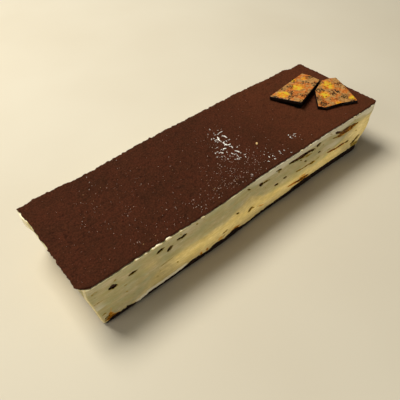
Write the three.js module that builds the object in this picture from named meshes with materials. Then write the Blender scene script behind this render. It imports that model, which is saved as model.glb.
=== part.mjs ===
// A whole tiramisu bar: coffee-soaked sponge and mascarpone cream in layers, a cocoa layer on top,
// and two broken chocolate plaques lying on the cocoa at one end.
//
// Millimetres. X runs along the bar, Z is up, and the origin is under the middle of the bar.
// The near side faces -Y, the far side +Y, the left end -X and the right end +X.

import * as THREE from 'three';

// Driving dimensions.
const BAR_LENGTH = 359;
const BAR_WIDTH = 110;
const BAR_HEIGHT = 56;
const COCOA_THICKNESS = 1.5;
const CREAM_TOP = BAR_HEIGHT - COCOA_THICKNESS;
const LAYER_GAP = 0.2; // hairline between one layer and the next
const SPONGE_INSET = 1.3; // the upper sponges stand back from the cut face of the cream
const BASE_INSET = 0.4; // the soaked bottom sponge has sagged out almost flush
const COCOA_INSET = 0.4;
const PLAQUE_THICKNESS = 3.5;
const PLAQUE_BEVEL = 0.4;
const PLAQUE_CLEARANCE = 0.15;

// The cut faces aren't square. The ends lean in towards the bottom and bow out a little between
// their corners, the far left corner flares, and the whole bar is slightly skewed.
const LEFT_END_LEAN = 6.6;
const RIGHT_END_LEAN = 5.6;
const LEAN_REACH = 40; // how far in from an end its lean dies away
const END_BOW = 0.5;
const SKEW = 0.021; // shift along X for each millimetre of Y
const FLARE = { amount: 1.9, from: 32, to: 46, lowest: 28, full: 44 };

// Slow drift of each long side: a slope from end to end, and waves of height, length and phase.
const NEAR_SIDE = { shift: 0.25, slope: 1.8, waves: [[0.77, 229, 202], [0.36, 104, 257]] };
const FAR_SIDE = { shift: 0.6, slope: 0.3, waves: [[1.25, 244, 80], [0.73, 124, 234]] };

// The far top edge is crumbled away near the right end.
const BREAK = { depth: 3.8, start: 155, full: 161, lowest: 44 };

const EDGE_STEP = 6; // spacing of the stations along an edge
const CORNER_SEGMENTS = 4;
const BAR_CORNERS = { nearLeft: 3, nearRight: 5, farRight: 5, farLeft: 2 };
const COCOA_CORNERS = { nearLeft: 7.5, nearRight: 4.5, farRight: 4, farLeft: 1.5 };

// Two corners are rounded off further, the near right one low down and the near left one at its top:
// the side of the end they are on, how large the rounding is, and the heights it grows between.
const WORN_CORNERS = [
  { end: 1, size: 20, none: 33, full: 5 },
  { end: -1, size: 9, none: 42, full: 54 },
];

const FOODS = {
  cream: { color: 0xeadfb4, roughness: 0.5, inset: 0, corners: BAR_CORNERS, steps: 2 },
  sponge: { color: 0x8f5f33, roughness: 0.85, inset: SPONGE_INSET, corners: BAR_CORNERS, steps: 1 },
  soakedSponge: { color: 0x3a2012, roughness: 0.8, inset: BASE_INSET, corners: BAR_CORNERS, steps: 1 },
  cocoa: { color: 0x48261a, roughness: 0.95, inset: COCOA_INSET, corners: COCOA_CORNERS, steps: 1 },
  plaque: { color: 0xc87a38, roughness: 0.35 },
};

// From the bottom up. Each height is where the layer ends and the next one starts.
const LAYERS = [
  { name: 'sponge_base', top: 12, food: 'soakedSponge' },
  { name: 'cream_lower', top: 20, food: 'cream' },
  { name: 'sponge_lower', top: 28, food: 'sponge' },
  { name: 'cream_middle', top: 38, food: 'cream' },
  { name: 'sponge_upper', top: 46.5, food: 'sponge' },
  { name: 'cream_upper', top: CREAM_TOP, food: 'cream' },
  { name: 'cocoa_top', top: BAR_HEIGHT, food: 'cocoa' },
];

// Plaques, as the corners of each broken shard seen from above, and how far it is tipped.
// Each one bears on the cocoa along its lowest edge.
const PLAQUES = [
  {
    name: 'plaque_left',
    corners: [[94.5, 22.5], [106.5, -11.5], [159, 5], [161, 21], [159.5, 31]],
    tipAboutX: -6,
    tipAboutY: 0,
  },
  {
    name: 'plaque_right',
    corners: [
      [119, -23.5], [123, -30], [141.5, -36], [159, -45], [171, -20.5],
      [178, -2.5], [170.5, 2], [160.5, 4.5], [139.5, -3],
    ],
    tipAboutX: 2,
    tipAboutY: -0.7,
  },
];

const { degToRad, smoothstep } = THREE.MathUtils;

function foodMaterial(food) {
  const { color, roughness } = FOODS[food];
  return new THREE.MeshStandardMaterial({ color, roughness, metalness: 0 });
}

function drift(side, x) {
  let offset = side.shift + side.slope * (x / (BAR_LENGTH / 2));
  for (const [height, length, phase] of side.waves) {
    offset += height * Math.sin((2 * Math.PI * x) / length + degToRad(phase));
  }
  return offset;
}

function breakDepth(x, z) {
  return BREAK.depth * smoothstep(z, BREAK.lowest, CREAM_TOP) * smoothstep(x, BREAK.start, BREAK.full);
}

// How far an end face stands out at a height, seen from the middle of the bar.
function endShift(x, y, z) {
  const bow = END_BOW * (1 - (y / (BAR_WIDTH / 2)) ** 2);
  const fromTop = 1 - z / BAR_HEIGHT;
  if (x > 0) {
    return bow - RIGHT_END_LEAN * fromTop;
  }
  const flare = smoothstep(y, FLARE.from, FLARE.to) * smoothstep(z, FLARE.lowest, FLARE.full);
  return bow - LEFT_END_LEAN * fromTop + FLARE.amount * flare;
}

// Rounds a point in one of the near corners off towards the middle of the bar.
function wearCorners(x, y, z) {
  for (const { end, size, none, full } of WORN_CORNERS) {
    const share = THREE.MathUtils.clamp((z - none) / (full - none), 0, 1);
    const reachIn = size * smoothstep(share, 0, 1);
    const along = end * x - BAR_LENGTH / 2 + reachIn;
    const out = -y - BAR_WIDTH / 2 + reachIn;
    if (along > 0 && out > 0) {
      const inX = along * (1 - Math.sqrt(1 - (out / reachIn) ** 2 / 2));
      const inY = out * (1 - Math.sqrt(1 - (along / reachIn) ** 2 / 2));
      return [x - end * inX, y + inY];
    }
  }
  return [x, y];
}

// Moves a point of the plain rounded bar to its place on the uneven one.
function uneven(plainX, plainY, z) {
  const [x, y] = wearCorners(plainX, plainY, z);
  const sideShift = y < 0 ? drift(NEAR_SIDE, x) : drift(FAR_SIDE, x) - breakDepth(x, z);
  const sideShare = y / (BAR_WIDTH / 2);
  const reach = smoothstep(Math.abs(x), BAR_LENGTH / 2 - LEAN_REACH, BAR_LENGTH / 2);
  const endShare = Math.sign(x) * reach;
  return new THREE.Vector2(x + SKEW * y + endShift(x, y, z) * endShare, y + sideShift * sideShare);
}

// Adds even stations between the last point of an outline and the next one.
function addStations(points, next) {
  const last = points[points.length - 1];
  const count = Math.round(last.distanceTo(next) / EDGE_STEP);
  for (let i = 1; i < count; i += 1) {
    points.push(new THREE.Vector2().lerpVectors(last, next, i / count));
  }
}

// Outline of the plain bar, anticlockwise, with stations close enough together to follow the drift.
function plainOutline(inset, radii) {
  const right = BAR_LENGTH / 2 - inset;
  const far = BAR_WIDTH / 2 - inset;
  const corners = [
    { x: right, y: -far, radius: radii.nearRight, start: -90 },
    { x: right, y: far, radius: radii.farRight, start: 0 },
    { x: -right, y: far, radius: radii.farLeft, start: 90 },
    { x: -right, y: -far, radius: radii.nearLeft, start: 180 },
  ];
  const points = [];
  for (const { x, y, radius, start } of corners) {
    const centre = new THREE.Vector2(x - Math.sign(x) * radius, y - Math.sign(y) * radius);
    for (let i = 0; i <= CORNER_SEGMENTS; i += 1) {
      const angle = degToRad(start + (90 * i) / CORNER_SEGMENTS);
      const point = new THREE.Vector2(Math.cos(angle), Math.sin(angle)).multiplyScalar(radius).add(centre);
      if (i === 0 && points.length > 0) {
        addStations(points, point);
      }
      points.push(point);
    }
  }
  addStations(points, points[0]);
  return points;
}

// A solid with a ring of points at each height, walls between the rings and a flat cap at each end.
function stackedGeometry(outline, heights) {
  const rings = heights.map((z) => outline.map((point) => uneven(point.x, point.y, z)));
  const positions = rings.flatMap((ring, level) => ring.flatMap(({ x, y }) => [x, y, heights[level]]));
  const count = outline.length;
  const indices = [];
  for (let lower = 0; lower < count * (heights.length - 1); lower += count) {
    const upper = lower + count;
    for (let i = 0; i < count; i += 1) {
      const next = (i + 1) % count;
      indices.push(lower + i, lower + next, upper + next);
      indices.push(lower + i, upper + next, upper + i);
    }
  }
  const top = count * (heights.length - 1);
  for (const [a, b, c] of THREE.ShapeUtils.triangulateShape(rings[0], [])) {
    indices.push(c, b, a);
  }
  for (const [a, b, c] of THREE.ShapeUtils.triangulateShape(rings[rings.length - 1], [])) {
    indices.push(top + a, top + b, top + c);
  }
  const geometry = new THREE.BufferGeometry();
  geometry.setAttribute('position', new THREE.Float32BufferAttribute(positions, 3));
  geometry.setIndex(indices);
  geometry.computeVertexNormals();
  return geometry;
}

function layerMesh(layer, layerBottom) {
  const { inset, corners, steps } = FOODS[layer.food];
  const bottom = layerBottom === 0 ? 0 : layerBottom + LAYER_GAP;
  const heights = [];
  for (let i = 0; i <= steps; i += 1) {
    heights.push(THREE.MathUtils.lerp(bottom, layer.top, i / steps));
  }
  const geometry = stackedGeometry(plainOutline(inset, corners), heights);
  const mesh = new THREE.Mesh(geometry, foodMaterial(layer.food));
  mesh.name = layer.name;
  return mesh;
}

function plaqueMesh(plaque) {
  const corners = plaque.corners.map(([x, y]) => new THREE.Vector2(x, y));
  const middle = corners
    .reduce((sum, corner) => sum.add(corner), new THREE.Vector2())
    .divideScalar(corners.length);
  const shape = new THREE.Shape(corners.map((corner) => corner.clone().sub(middle)));
  const geometry = new THREE.ExtrudeGeometry(shape, {
    depth: PLAQUE_THICKNESS - 2 * PLAQUE_BEVEL,
    bevelThickness: PLAQUE_BEVEL,
    bevelSize: PLAQUE_BEVEL,
    bevelOffset: -PLAQUE_BEVEL,
    bevelSegments: 1,
  });
  const mesh = new THREE.Mesh(geometry, foodMaterial('plaque'));
  mesh.name = plaque.name;
  mesh.rotation.set(degToRad(plaque.tipAboutX), degToRad(plaque.tipAboutY), 0);
  const lowest = new THREE.Box3().setFromObject(mesh, true).min.z;
  mesh.position.set(middle.x, middle.y, BAR_HEIGHT + PLAQUE_CLEARANCE - lowest);
  return mesh;
}

const tiramisu = new THREE.Group();
let layerBottom = 0;
for (const layer of LAYERS) {
  tiramisu.add(layerMesh(layer, layerBottom));
  layerBottom = layer.top;
}
for (const plaque of PLAQUES) {
  tiramisu.add(plaqueMesh(plaque));
}

export default tiramisu;
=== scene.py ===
"""The looks of a whole tiramisu bar: coffee-soaked sponge and mascarpone cream in layers under sifted
cocoa, with two broken chocolate plaques and a little scattered sugar.

Shapes are worked out in millimetres, and a piece becomes metres when it is finished. X runs along the
bar, the near long side faces -Y, and the bar stands on Z = 0.
"""

import math
import random

import bmesh
import bpy
import numpy as np
from mathutils import Matrix, Vector


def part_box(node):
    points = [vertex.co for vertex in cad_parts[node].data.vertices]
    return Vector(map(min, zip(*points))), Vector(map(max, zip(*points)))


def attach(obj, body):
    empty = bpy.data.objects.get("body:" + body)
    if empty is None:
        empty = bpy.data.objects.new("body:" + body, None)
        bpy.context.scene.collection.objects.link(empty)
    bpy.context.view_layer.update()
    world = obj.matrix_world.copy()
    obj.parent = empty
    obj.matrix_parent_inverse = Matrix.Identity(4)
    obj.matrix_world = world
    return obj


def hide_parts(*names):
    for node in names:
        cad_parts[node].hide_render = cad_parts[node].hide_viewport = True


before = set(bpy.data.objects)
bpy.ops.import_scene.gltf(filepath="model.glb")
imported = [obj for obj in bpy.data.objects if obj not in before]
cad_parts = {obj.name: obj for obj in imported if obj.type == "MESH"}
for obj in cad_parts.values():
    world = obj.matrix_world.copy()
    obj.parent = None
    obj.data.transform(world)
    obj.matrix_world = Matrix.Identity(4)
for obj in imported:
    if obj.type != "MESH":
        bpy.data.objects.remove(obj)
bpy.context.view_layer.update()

MM = 0.001

# ---------- The bar's plain size, and how its cut faces stray from it ----------

BAR_LENGTH = 359
BAR_WIDTH = 110
BAR_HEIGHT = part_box("cocoa_top")[1].z / MM
CREAM_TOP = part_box("cream_upper")[1].z / MM

# The ends lean in towards the bottom and bow out a little, and the far left corner flares.
LEFT_END_LEAN = 6.6
RIGHT_END_LEAN = 5.6
LEAN_REACH = 40
END_BOW = 0.5
SKEW = 0.021
FLARE_AMOUNT = 1.9
FLARE_ACROSS = (32, 46)  # where it grows across the bar
FLARE_UP = (28, 44)  # and up it

# Slow drift of each long side: a shift, a slope from end to end, and waves of height, length and phase.
NEAR_SIDE = (0.25, 1.8, ((0.77, 229, 202), (0.36, 104, 257)))
FAR_SIDE = (0.6, 0.3, ((1.25, 244, 80), (0.73, 124, 234)))

# The far top edge is crumbled away near the right end.
BREAK_DEPTH = 3.8
BREAK_START = 155
BREAK_FULL = 161
BREAK_LOWEST = 44

# Corner radii, in the order near right, far right, far left, near left.
BAR_CORNERS = (5, 5, 2, 3)
COCOA_CORNERS = (4.5, 4, 1.5, 7.5)
ARC_POINTS = 13

# The near right corner is rounded off further low down, and the near left one at its top: the side of
# the end it is on, how large the rounding is, and the heights it grows between.
WORN_CORNERS = ((1, 20, 33, 5), (-1, 9, 42, 54))

COLUMN_WIDTH = 0.62  # one face of the side walls, along the bar
ROW_HEIGHT = 0.5  # and up it


def smoothstep(value, low, high):
    share = np.clip((value - low) / (high - low), 0, 1)
    return share * share * (3 - 2 * share)


def drift(side, x):
    shift, slope, waves = side
    offset = shift + slope * x / (BAR_LENGTH / 2)
    for height, length, phase in waves:
        offset = offset + height * np.sin(2 * math.pi * x / length + math.radians(phase))
    return offset


def break_depth(x, z):
    return BREAK_DEPTH * smoothstep(z, BREAK_LOWEST, CREAM_TOP) * smoothstep(x, BREAK_START, BREAK_FULL)


def end_shift(x, y, z):
    """How far an end face stands out at a height, seen from the middle of the bar."""
    bow = END_BOW * (1 - (y / (BAR_WIDTH / 2)) ** 2)
    from_top = 1 - z / BAR_HEIGHT
    flare = FLARE_AMOUNT * smoothstep(y, *FLARE_ACROSS) * smoothstep(z, *FLARE_UP)
    return bow + np.where(x > 0, -RIGHT_END_LEAN * from_top, flare - LEFT_END_LEAN * from_top)


def round_block(along, out):
    """Bends points of a unit square, corner outwards, into a quarter disc."""
    return along * np.sqrt(1 - out * out / 2), out * np.sqrt(1 - along * along / 2)


def wear_corners(x, y, z):
    """Rounds the two worn near corners off towards the middle of the bar."""
    for end, size, none, full in WORN_CORNERS:
        reach_in = np.maximum(size * smoothstep(z, none, full), 0.001)
        along = (end * x - BAR_LENGTH / 2) / reach_in + 1
        out = (-y - BAR_WIDTH / 2) / reach_in + 1
        worn = (along > 0) & (out > 0)
        round_along, round_out = round_block(np.clip(along, 0, 1), np.clip(out, 0, 1))
        x = np.where(worn, x - end * reach_in * (along - round_along), x)
        y = np.where(worn, y + reach_in * (out - round_out), y)
    return x, y


def uneven(plain_x, plain_y, z):
    """Moves points of the plain rounded bar to their place on the uneven one."""
    x, y = wear_corners(plain_x, plain_y, z)
    side_shift = np.where(y < 0, drift(NEAR_SIDE, x), drift(FAR_SIDE, x) - break_depth(x, z))
    end_share = np.sign(x) * smoothstep(np.abs(x), BAR_LENGTH / 2 - LEAN_REACH, BAR_LENGTH / 2)
    true_x = x + SKEW * y + end_shift(x, y, z) * end_share
    return true_x, y + side_shift * y / (BAR_WIDTH / 2)


def plain_outline(inset, radii):
    """Outline of the plain bar, anticlockwise: x, y and the outward direction at each point."""
    right = BAR_LENGTH / 2 - inset
    far = BAR_WIDTH / 2 - inset
    corners = ((right, -far), (right, far), (-right, far), (-right, -far))
    points = []
    for quarter, ((x, y), radius) in enumerate(zip(corners, radii)):
        centre_x = x - math.copysign(radius, x)
        centre_y = y - math.copysign(radius, y)
        for angle in np.radians(np.linspace(-90, 0, ARC_POINTS) + 90 * quarter):
            out_x, out_y = math.cos(angle), math.sin(angle)
            points.append((centre_x + radius * out_x, centre_y + radius * out_y, out_x, out_y))
    points.append(points[0])
    return np.array(points)


def shares_along(outline):
    """Each outline point's share of the way round, and the whole way in millimetres."""
    steps = np.hypot(*np.diff(outline[:, :2], axis=0).T)
    return np.concatenate([[0], np.cumsum(steps)]) / steps.sum(), steps.sum()


OUTLINE_SHARES, GIRTH = shares_along(plain_outline(0, BAR_CORNERS))
COLUMNS = round(GIRTH / COLUMN_WIDTH)


def round_the_bar(share, inset):
    """Plain x, y and outward direction at each share of the way round the bar."""
    outline = plain_outline(inset, BAR_CORNERS)
    return [np.interp(share, OUTLINE_SHARES, column) for column in outline.T]


# ---------- Random unevenness ----------

LUMP_CELLS = 48  # cells along each side of a table, past which it repeats
LUMP_TABLES = [np.random.default_rng(seed).uniform(-1, 1, (LUMP_CELLS,) * 3) for seed in range(4)]


def lumps(places, size, seed=0):
    """Smooth random heights from -1 to 1 at each place, in lumps of about that size, x by y by z."""
    cells = places / np.broadcast_to(np.asarray(size, float), 3) + 37.5 + 11.3 * seed
    corner = np.floor(cells).astype(int)
    part = cells - corner
    ease = part**3 * (part * (6 * part - 15) + 10)
    table = LUMP_TABLES[seed % len(LUMP_TABLES)]
    total = np.zeros(len(places))
    for step in np.ndindex(2, 2, 2):
        weight = np.prod(np.where(step, ease, 1 - ease), axis=1)
        total += weight * table[tuple(((corner + step) % LUMP_CELLS).T)]
    return total


def level_places(x, y):
    """Places on one level, from which lumps are drawn."""
    return np.column_stack([x, y, 0 * x])


def rough_lumps(places, size, seed=0, octaves=3):
    """Lumps with finer lumps on them."""
    total = np.zeros(len(places))
    size = np.asarray(size, float)
    for octave in range(octaves):
        total += lumps(places, size / 2.1**octave, seed + octave) / 1.8**octave
    return total / 1.5


# ---------- Meshes ----------

TURN_SHARP = math.radians(58)  # faces that meet at more than this keep a sharp edge


def read_places(mesh):
    flat = np.empty(len(mesh.vertices) * 3)
    mesh.vertices.foreach_get("co", flat)
    return flat.reshape(-1, 3)


def write_places(mesh, places):
    mesh.vertices.foreach_set("co", places.astype(np.float32).ravel())
    mesh.update()


def add_mask(mesh, name, values):
    """Keeps a number for each point, which a material can read."""
    mask = mesh.attributes.new(name, "FLOAT", "POINT")
    mask.data.foreach_set("value", np.asarray(values, np.float32))


def mesh_from(bm, name):
    mesh = bpy.data.meshes.new(name)
    bm.to_mesh(mesh)
    bm.free()
    return mesh


def finish_piece(mesh, name, material, slot, *replaced_nodes):
    """Turns a mesh in millimetres into a piece of the bar."""
    mesh.transform(Matrix.Scale(MM, 4))
    mesh.shade_smooth()
    mesh.set_sharp_from_angle(angle=TURN_SHARP)
    mesh.materials.append(material)
    piece = bpy.data.objects.new(name, mesh)
    bpy.context.scene.collection.objects.link(piece)
    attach(piece, "root")
    if replaced_nodes:
        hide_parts(*replaced_nodes)


def drum(rows):
    """A closed drum whose wall is cut into columns round it and rows up it."""
    bm = bmesh.new()
    bmesh.ops.create_cone(
        bm, cap_ends=True, cap_tris=False, segments=COLUMNS, radius1=1, radius2=1, depth=rows
    )
    uprights = [edge for edge in bm.edges if edge.verts[0].co.z * edge.verts[1].co.z < 0]
    bmesh.ops.subdivide_edges(bm, edges=uprights, cuts=rows - 1)
    return mesh_from(bm, "drum")


def shares_round(places):
    """Each drum point's share of the way round."""
    return (np.arctan2(places[:, 1], places[:, 0]) / (2 * math.pi)) % 1


def press_onto_bar(mesh, rows, section):
    """Presses a drum's wall onto the bar. section gives each row's inset, heights and whether it is a
    row of the cut face. Returns the true places, the outward directions and the face mask."""
    places = read_places(mesh)
    shares = shares_round(places)
    row_of = np.rint(places[:, 2] + rows / 2).astype(int)
    outward = np.zeros((len(places), 2))
    on_face = np.zeros(len(places), bool)
    for row in range(rows + 1):
        chosen = row_of == row
        inset, height, is_face = section(row, shares[chosen])
        x, y, out_x, out_y = round_the_bar(shares[chosen], inset)
        true_x, true_y = uneven(x, y, height)
        places[chosen] = np.column_stack([true_x, true_y, height + 0 * x])
        outward[chosen] = np.column_stack([out_x, out_y])
        on_face[chosen] = is_face
    return places, outward, on_face


def layer_heights(node):
    low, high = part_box(node)
    return low.z / MM, high.z / MM


# ---------- Cream ----------

SKIRT_INSET = 3.2  # the smeared cream over the sponges' edges is this thick at most

# Each streak dragged open along a cut side: start and end along the side and up it, its height, how
# deep it opens, and how brown it is, from 0.4 for a trace of syrup over 0.7 for bare sponge to 1 for a gap
# painted dark as shade.
NEAR_STREAKS = (
    (-175, 34, -166, 33.2, 1.6, 0.3, 0.5), (-160.8, 42.4, -153, 41, 4.6, 2.8, 1),
    (-158.8, 43.6, -155.4, 43.4, 2.2, 2.6, 1), (-143, 42.4, -135, 42.8, 2.6, 2.2, 0.94),
    (-141.6, 42.4, -137, 42.8, 1.4, 2.4, 1), (-150, 33.8, -144, 33.2, 1.5, 0.3, 0.46),
    (-116.4, 46.4, -108.8, 48, 3.3, 2.2, 0.92), (-106.8, 41.4, -101, 43.6, 4.3, 2.8, 1),
    (-105.6, 41.8, -102.6, 42.8, 2.6, 2.8, 1), (-97, 47.2, -90, 46.4, 2.2, 1.8, 0.88),
    (-93, 46.2, -86, 47.2, 3.3, 1, 0.8), (-93, 50.8, -90.6, 51, 1.7, 0.4, 0.5),
    (-76.8, 51, -73.8, 51.2, 2, 0.5, 0.5), (-69.4, 50.8, -66.8, 51, 1.5, 0.3, 0.44),
    (-118, 26.2, -100.6, 28.2, 1.5, 0.3, 0.5), (-119.8, 17.2, -117.2, 15.6, 2.2, 0.4, 0.44),
    (-116.4, 21, -114.6, 21.4, 1.7, 0.3, 0.42), (-174.4, 47, -168.6, 47.4, 2.2, 0.3, 0.4),
    (-155.4, 47.2, -152.6, 47.6, 2, 0.3, 0.44), (-148.6, 25, -146.4, 25, 2, 0.2, 0.4),
    (-172.6, 13.6, -167.6, 14.8, 2.6, 0.4, 0.46), (-171.6, 7.6, -166, 8.6, 2, 1.2, 0.84),
    (-152, 4.8, -149.8, 6.2, 2.4, 1, 0.9), (-145, 3.4, -143.2, 4.4, 2.4, 1, 0.9),
    (-98.6, 17.6, -96, 16.8, 2.4, 0.3, 0.4), (-46.8, 13.8, -40, 15, 2.2, 0.6, 0.6),
    (-46.6, 9.2, -42.8, 9.8, 2.2, 0.3, 0.5), (-17.4, 51, -12.4, 47.8, 2.1, 1, 0.68),
    (-30, 28.8, -26, 27.2, 2.4, 1.2, 0.78), (-13.4, 18.8, -7, 20.6, 4.8, 0.8, 0.72),
    (-9.4, 21, -3.4, 17.4, 2.2, 0.5, 0.54), (-1.2, 45.6, 4.8, 43.8, 4.6, 2.8, 1),
    (3, 44.6, 14, 43.2, 2.6, 0.9, 0.62), (7.8, 36, 10.2, 34.6, 1.3, 0.4, 0.5),
    (21.2, 48.8, 29.8, 46.8, 2.4, 1.6, 0.8), (24, 46, 27.4, 44, 2.4, 0.4, 0.5),
    (22, 29.8, 28.2, 28.2, 3, 1.3, 0.8), (33.6, 32.2, 39.4, 30.6, 2.8, 1.5, 0.84),
    (38.4, 47.6, 54, 46, 3.3, 2.8, 1), (46, 46.6, 74, 46.4, 4.8, 2.8, 1),
    (68, 46.6, 78.6, 44.4, 3.2, 1.8, 0.88), (58, 43.2, 76, 40.8, 3, 0.4, 0.5),
    (55.8, 41.8, 60.2, 40.6, 1.6, 1, 0.66), (79.4, 46.8, 86.4, 47.4, 4.6, 1.4, 0.82),
    (84, 44, 88, 48.6, 2.2, 0.7, 0.56), (90.8, 42, 94, 41.2, 1.5, 0.6, 0.52),
    (99, 52, 104, 49.4, 1.5, 0.3, 0.46), (63.6, 36.4, 67.8, 34.8, 2.2, 1, 0.78),
    (85, 35.8, 90.6, 34.2, 2.4, 1, 0.78), (52, 28.8, 63, 27.4, 2.3, 0.5, 0.56),
    (60, 27.8, 76, 27, 2.4, 0.6, 0.58), (73, 27, 84.6, 25, 3.4, 1, 0.6),
    (84, 26, 92, 28, 1.8, 0.3, 0.48), (109, 48.6, 118, 45, 3.6, 2.8, 1),
    (113, 46, 124, 42.6, 2.6, 1.8, 0.8), (120.6, 44.8, 135, 46, 2.2, 2.4, 0.84),
    (131, 45.8, 148, 42.8, 2.4, 2.6, 0.9), (106, 42.6, 118, 39.4, 2, 0.5, 0.56),
    (138.2, 50.4, 142, 49.6, 1.7, 0.4, 0.46), (102, 29.6, 109, 28.4, 1.6, 0.3, 0.46),
    (133, 23.4, 140.4, 22.4, 3.2, 0.5, 0.64), (145, 15.2, 156, 17.4, 4.2, 0.9, 0.7),
    (150, 16.6, 160, 20.8, 4.8, 0.9, 0.7), (147, 33.2, 152, 31.4, 1.8, 0.4, 0.52),
    (146, 12.4, 164, 11.4, 4.2, 0.2, 0.5),
)

# The streaks that are rusty with syrup.
RUSTY_STREAKS = (
    (-172, 5.4, -158, 4.6, 5.6, 0.6, 0.8), (-168, 8, -162.6, 8, 8, 0.4, 0.66),
    (-165.8, 10, -163, 17.6, 3.4, 0.2, 0.42), (-52.4, 9.6, -46, 9.6, 6, 0.3, 0.46),
    (-37, 8.2, -24, 8.2, 4, 0.5, 0.7), (1.4, 15, 9.8, 12, 2, 0.4, 0.56),
    (44, 14, 62, 12.2, 3.8, 0.5, 0.68), (53, 12.2, 76, 11.2, 4.6, 0.9, 0.86),
    (60, 15.6, 72, 15, 4.4, 0.2, 0.5), (73, 27, 84.6, 25, 3.6, 0.8, 0.9),
    (103, 25.2, 121, 22.6, 2.8, 0.8, 0.9), (117, 22.6, 134.4, 24, 3.2, 1.1, 0.94),
    (116, 41.6, 147.6, 43, 7.2, 1.3, 0.84), (113, 40.4, 130, 38.6, 3.6, 0.9, 0.82),
    (-74, 8, -71, 8, 4, 0.3, 0.7), (-67, 8, -64, 8, 4, 0.3, 0.7),
)

# Where the cream ends, low down, along the near side: along it and up.
NEAR_HEM = (
    (-178, 2.4), (-172, 3.4), (-166, 3.8), (-157, 4.6), (-150, 4.8), (-146, 4.6), (-142, 3.8), (-137, 3.2),
    (-133, 4), (-129, 5), (-125, 5.4), (-120, 4.9), (-110, 4.4), (-100, 4.8), (-94, 5.1), (-90, 5.5),
    (-85, 6), (-80, 6.4), (-75, 6.5), (-70, 5.6), (-62, 5.5), (-57, 8), (-53, 8.3), (-50, 6.8), (-44, 5.8),
    (-36, 7.4), (-30, 7.6), (-25, 6.8), (-21, 5.4), (-14, 5), (-8, 4.3), (0, 4.7), (20, 5), (34, 5.7),
    (42, 6.3), (50, 7.2), (60, 8.6), (70, 8.7), (80, 8.4), (108, 8.2), (120, 8.4), (140, 9.2), (152, 9.8),
    (160, 9), (172, 7),
)

# Up to this height along the near side the cream is painted paler and yellower, a painted warm reflection
# from below: along it and up.
PALE_TOP = (
    (-180, -4), (-146, 4), (-130, 15), (-116, 27), (-102, 31), (-80, 29), (-60, 29), (-40, 31), (-22, 35),
    (-10, 37), (0, 32), (8, 26), (20, 22), (60, 22), (100, 23), (118, 27), (132, 35), (146, 41), (158, 45),
    (176, 48),
)

SPONGE_MIDDLES = (24, 42.2)  # heights at which the skirts of two creams meet over a sponge's edge
STREAK_LEVELS = (24.5, 44.2)  # heights that most streaks on the other sides lie near


def random_streaks(seed, reach, count):
    """Streaks for a side that is cut like the near one, mostly over the edges of the two upper sponges."""
    rng = random.Random(seed)
    streaks = []
    for _ in range(count):
        upper = rng.random() < 0.65
        length = min(rng.choice((3, 4, 6, 9, 14, 24, 36)) * rng.uniform(0.8, 1.25), reach * 0.7)
        start = rng.uniform(-reach, reach - length)
        level = rng.gauss(STREAK_LEVELS[upper], 2)
        opening = rng.choice((0.8, 1.4, 2.2, 2.7))
        height = rng.uniform(1.4, 2.6) + 0.06 * length
        end_level = level + rng.uniform(-1.2, 1.2)
        streaks.append((start, level, start + length, end_level, height, opening, 0.35 + 0.24 * opening))
    for _ in range(count // 3):
        start = rng.uniform(-reach, reach - 8)
        level = rng.uniform(8, 15)
        streaks.append((start, level, start + rng.uniform(3, 8), level, rng.uniform(1.5, 3), 0.9, 0.55))
    return tuple(streaks)


FAR_STREAKS = random_streaks(11, 168, 34)
LEFT_STREAKS = random_streaks(23, 44, 10)
RIGHT_STREAKS = random_streaks(31, 44, 9)


def open_streaks(along, up, ragged, streaks):
    """How deep the cream is dragged open, and how brown it is, at each place on one side."""
    depth = np.zeros(len(along))
    brown = np.zeros(len(along))
    for start, start_up, end, end_up, height, opening, stain_and_gap_shade in streaks:
        share = (along - start) / (end - start)
        middle = start_up + (end_up - start_up) * share
        pointed = np.abs(2 * share - 1) ** 1.7 + np.abs(2 * (up - middle) / height) ** 1.4
        reach = pointed + 0.42 * ragged
        depth = np.maximum(depth, opening * (1 - smoothstep(reach, 0.6, 1.15)))
        brown = np.maximum(brown, stain_and_gap_shade * (1 - smoothstep(reach, 0.8, 1.45)))
    return depth, brown


def face_sides(outward):
    """Masks of the places on the near, far, left and right faces."""
    return outward[:, 1] < -0.7, outward[:, 1] > 0.7, outward[:, 0] < -0.7, outward[:, 0] > 0.7


def streaks_on_faces(places, outward):
    """How deep the streaks open, and how brown and how rusty they are, at each place."""
    depth, brown, rusty = np.zeros((3, len(places)))
    ragged = rough_lumps(places, (4.2, 4.2, 1.2), 1)
    along_of = (places[:, 0], places[:, 0], places[:, 1], places[:, 1])
    side_streaks = (NEAR_STREAKS, FAR_STREAKS, LEFT_STREAKS, RIGHT_STREAKS)
    side_rust = (RUSTY_STREAKS, FAR_STREAKS[::5], LEFT_STREAKS[::5], RIGHT_STREAKS[::5])
    for side, along, streaks, rust in zip(face_sides(outward), along_of, side_streaks, side_rust):
        spot = (along[side], places[side, 2], ragged[side])
        dark_depth, brown[side] = open_streaks(*spot, streaks)
        rust_depth, rusty[side] = open_streaks(*spot, rust)
        depth[side] = np.maximum(dark_depth, rust_depth)
    return depth, brown, rusty


# Patches of other cream on the near side: along it, up, reach along and up, and the shade there.
NEAR_PATCHES = (
    (-172, 22, 6, 11, -0.8), (-122, 37, 9, 10, 0.7), (-12, 34, 8, 5, 0.9), (8, 51, 14, 3.5, -1),
    (112, 33, 16, 5.5, -0.8), (139, 33, 9, 5.5, 0.9), (156, 38, 9, 6, 1.2),
)


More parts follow.
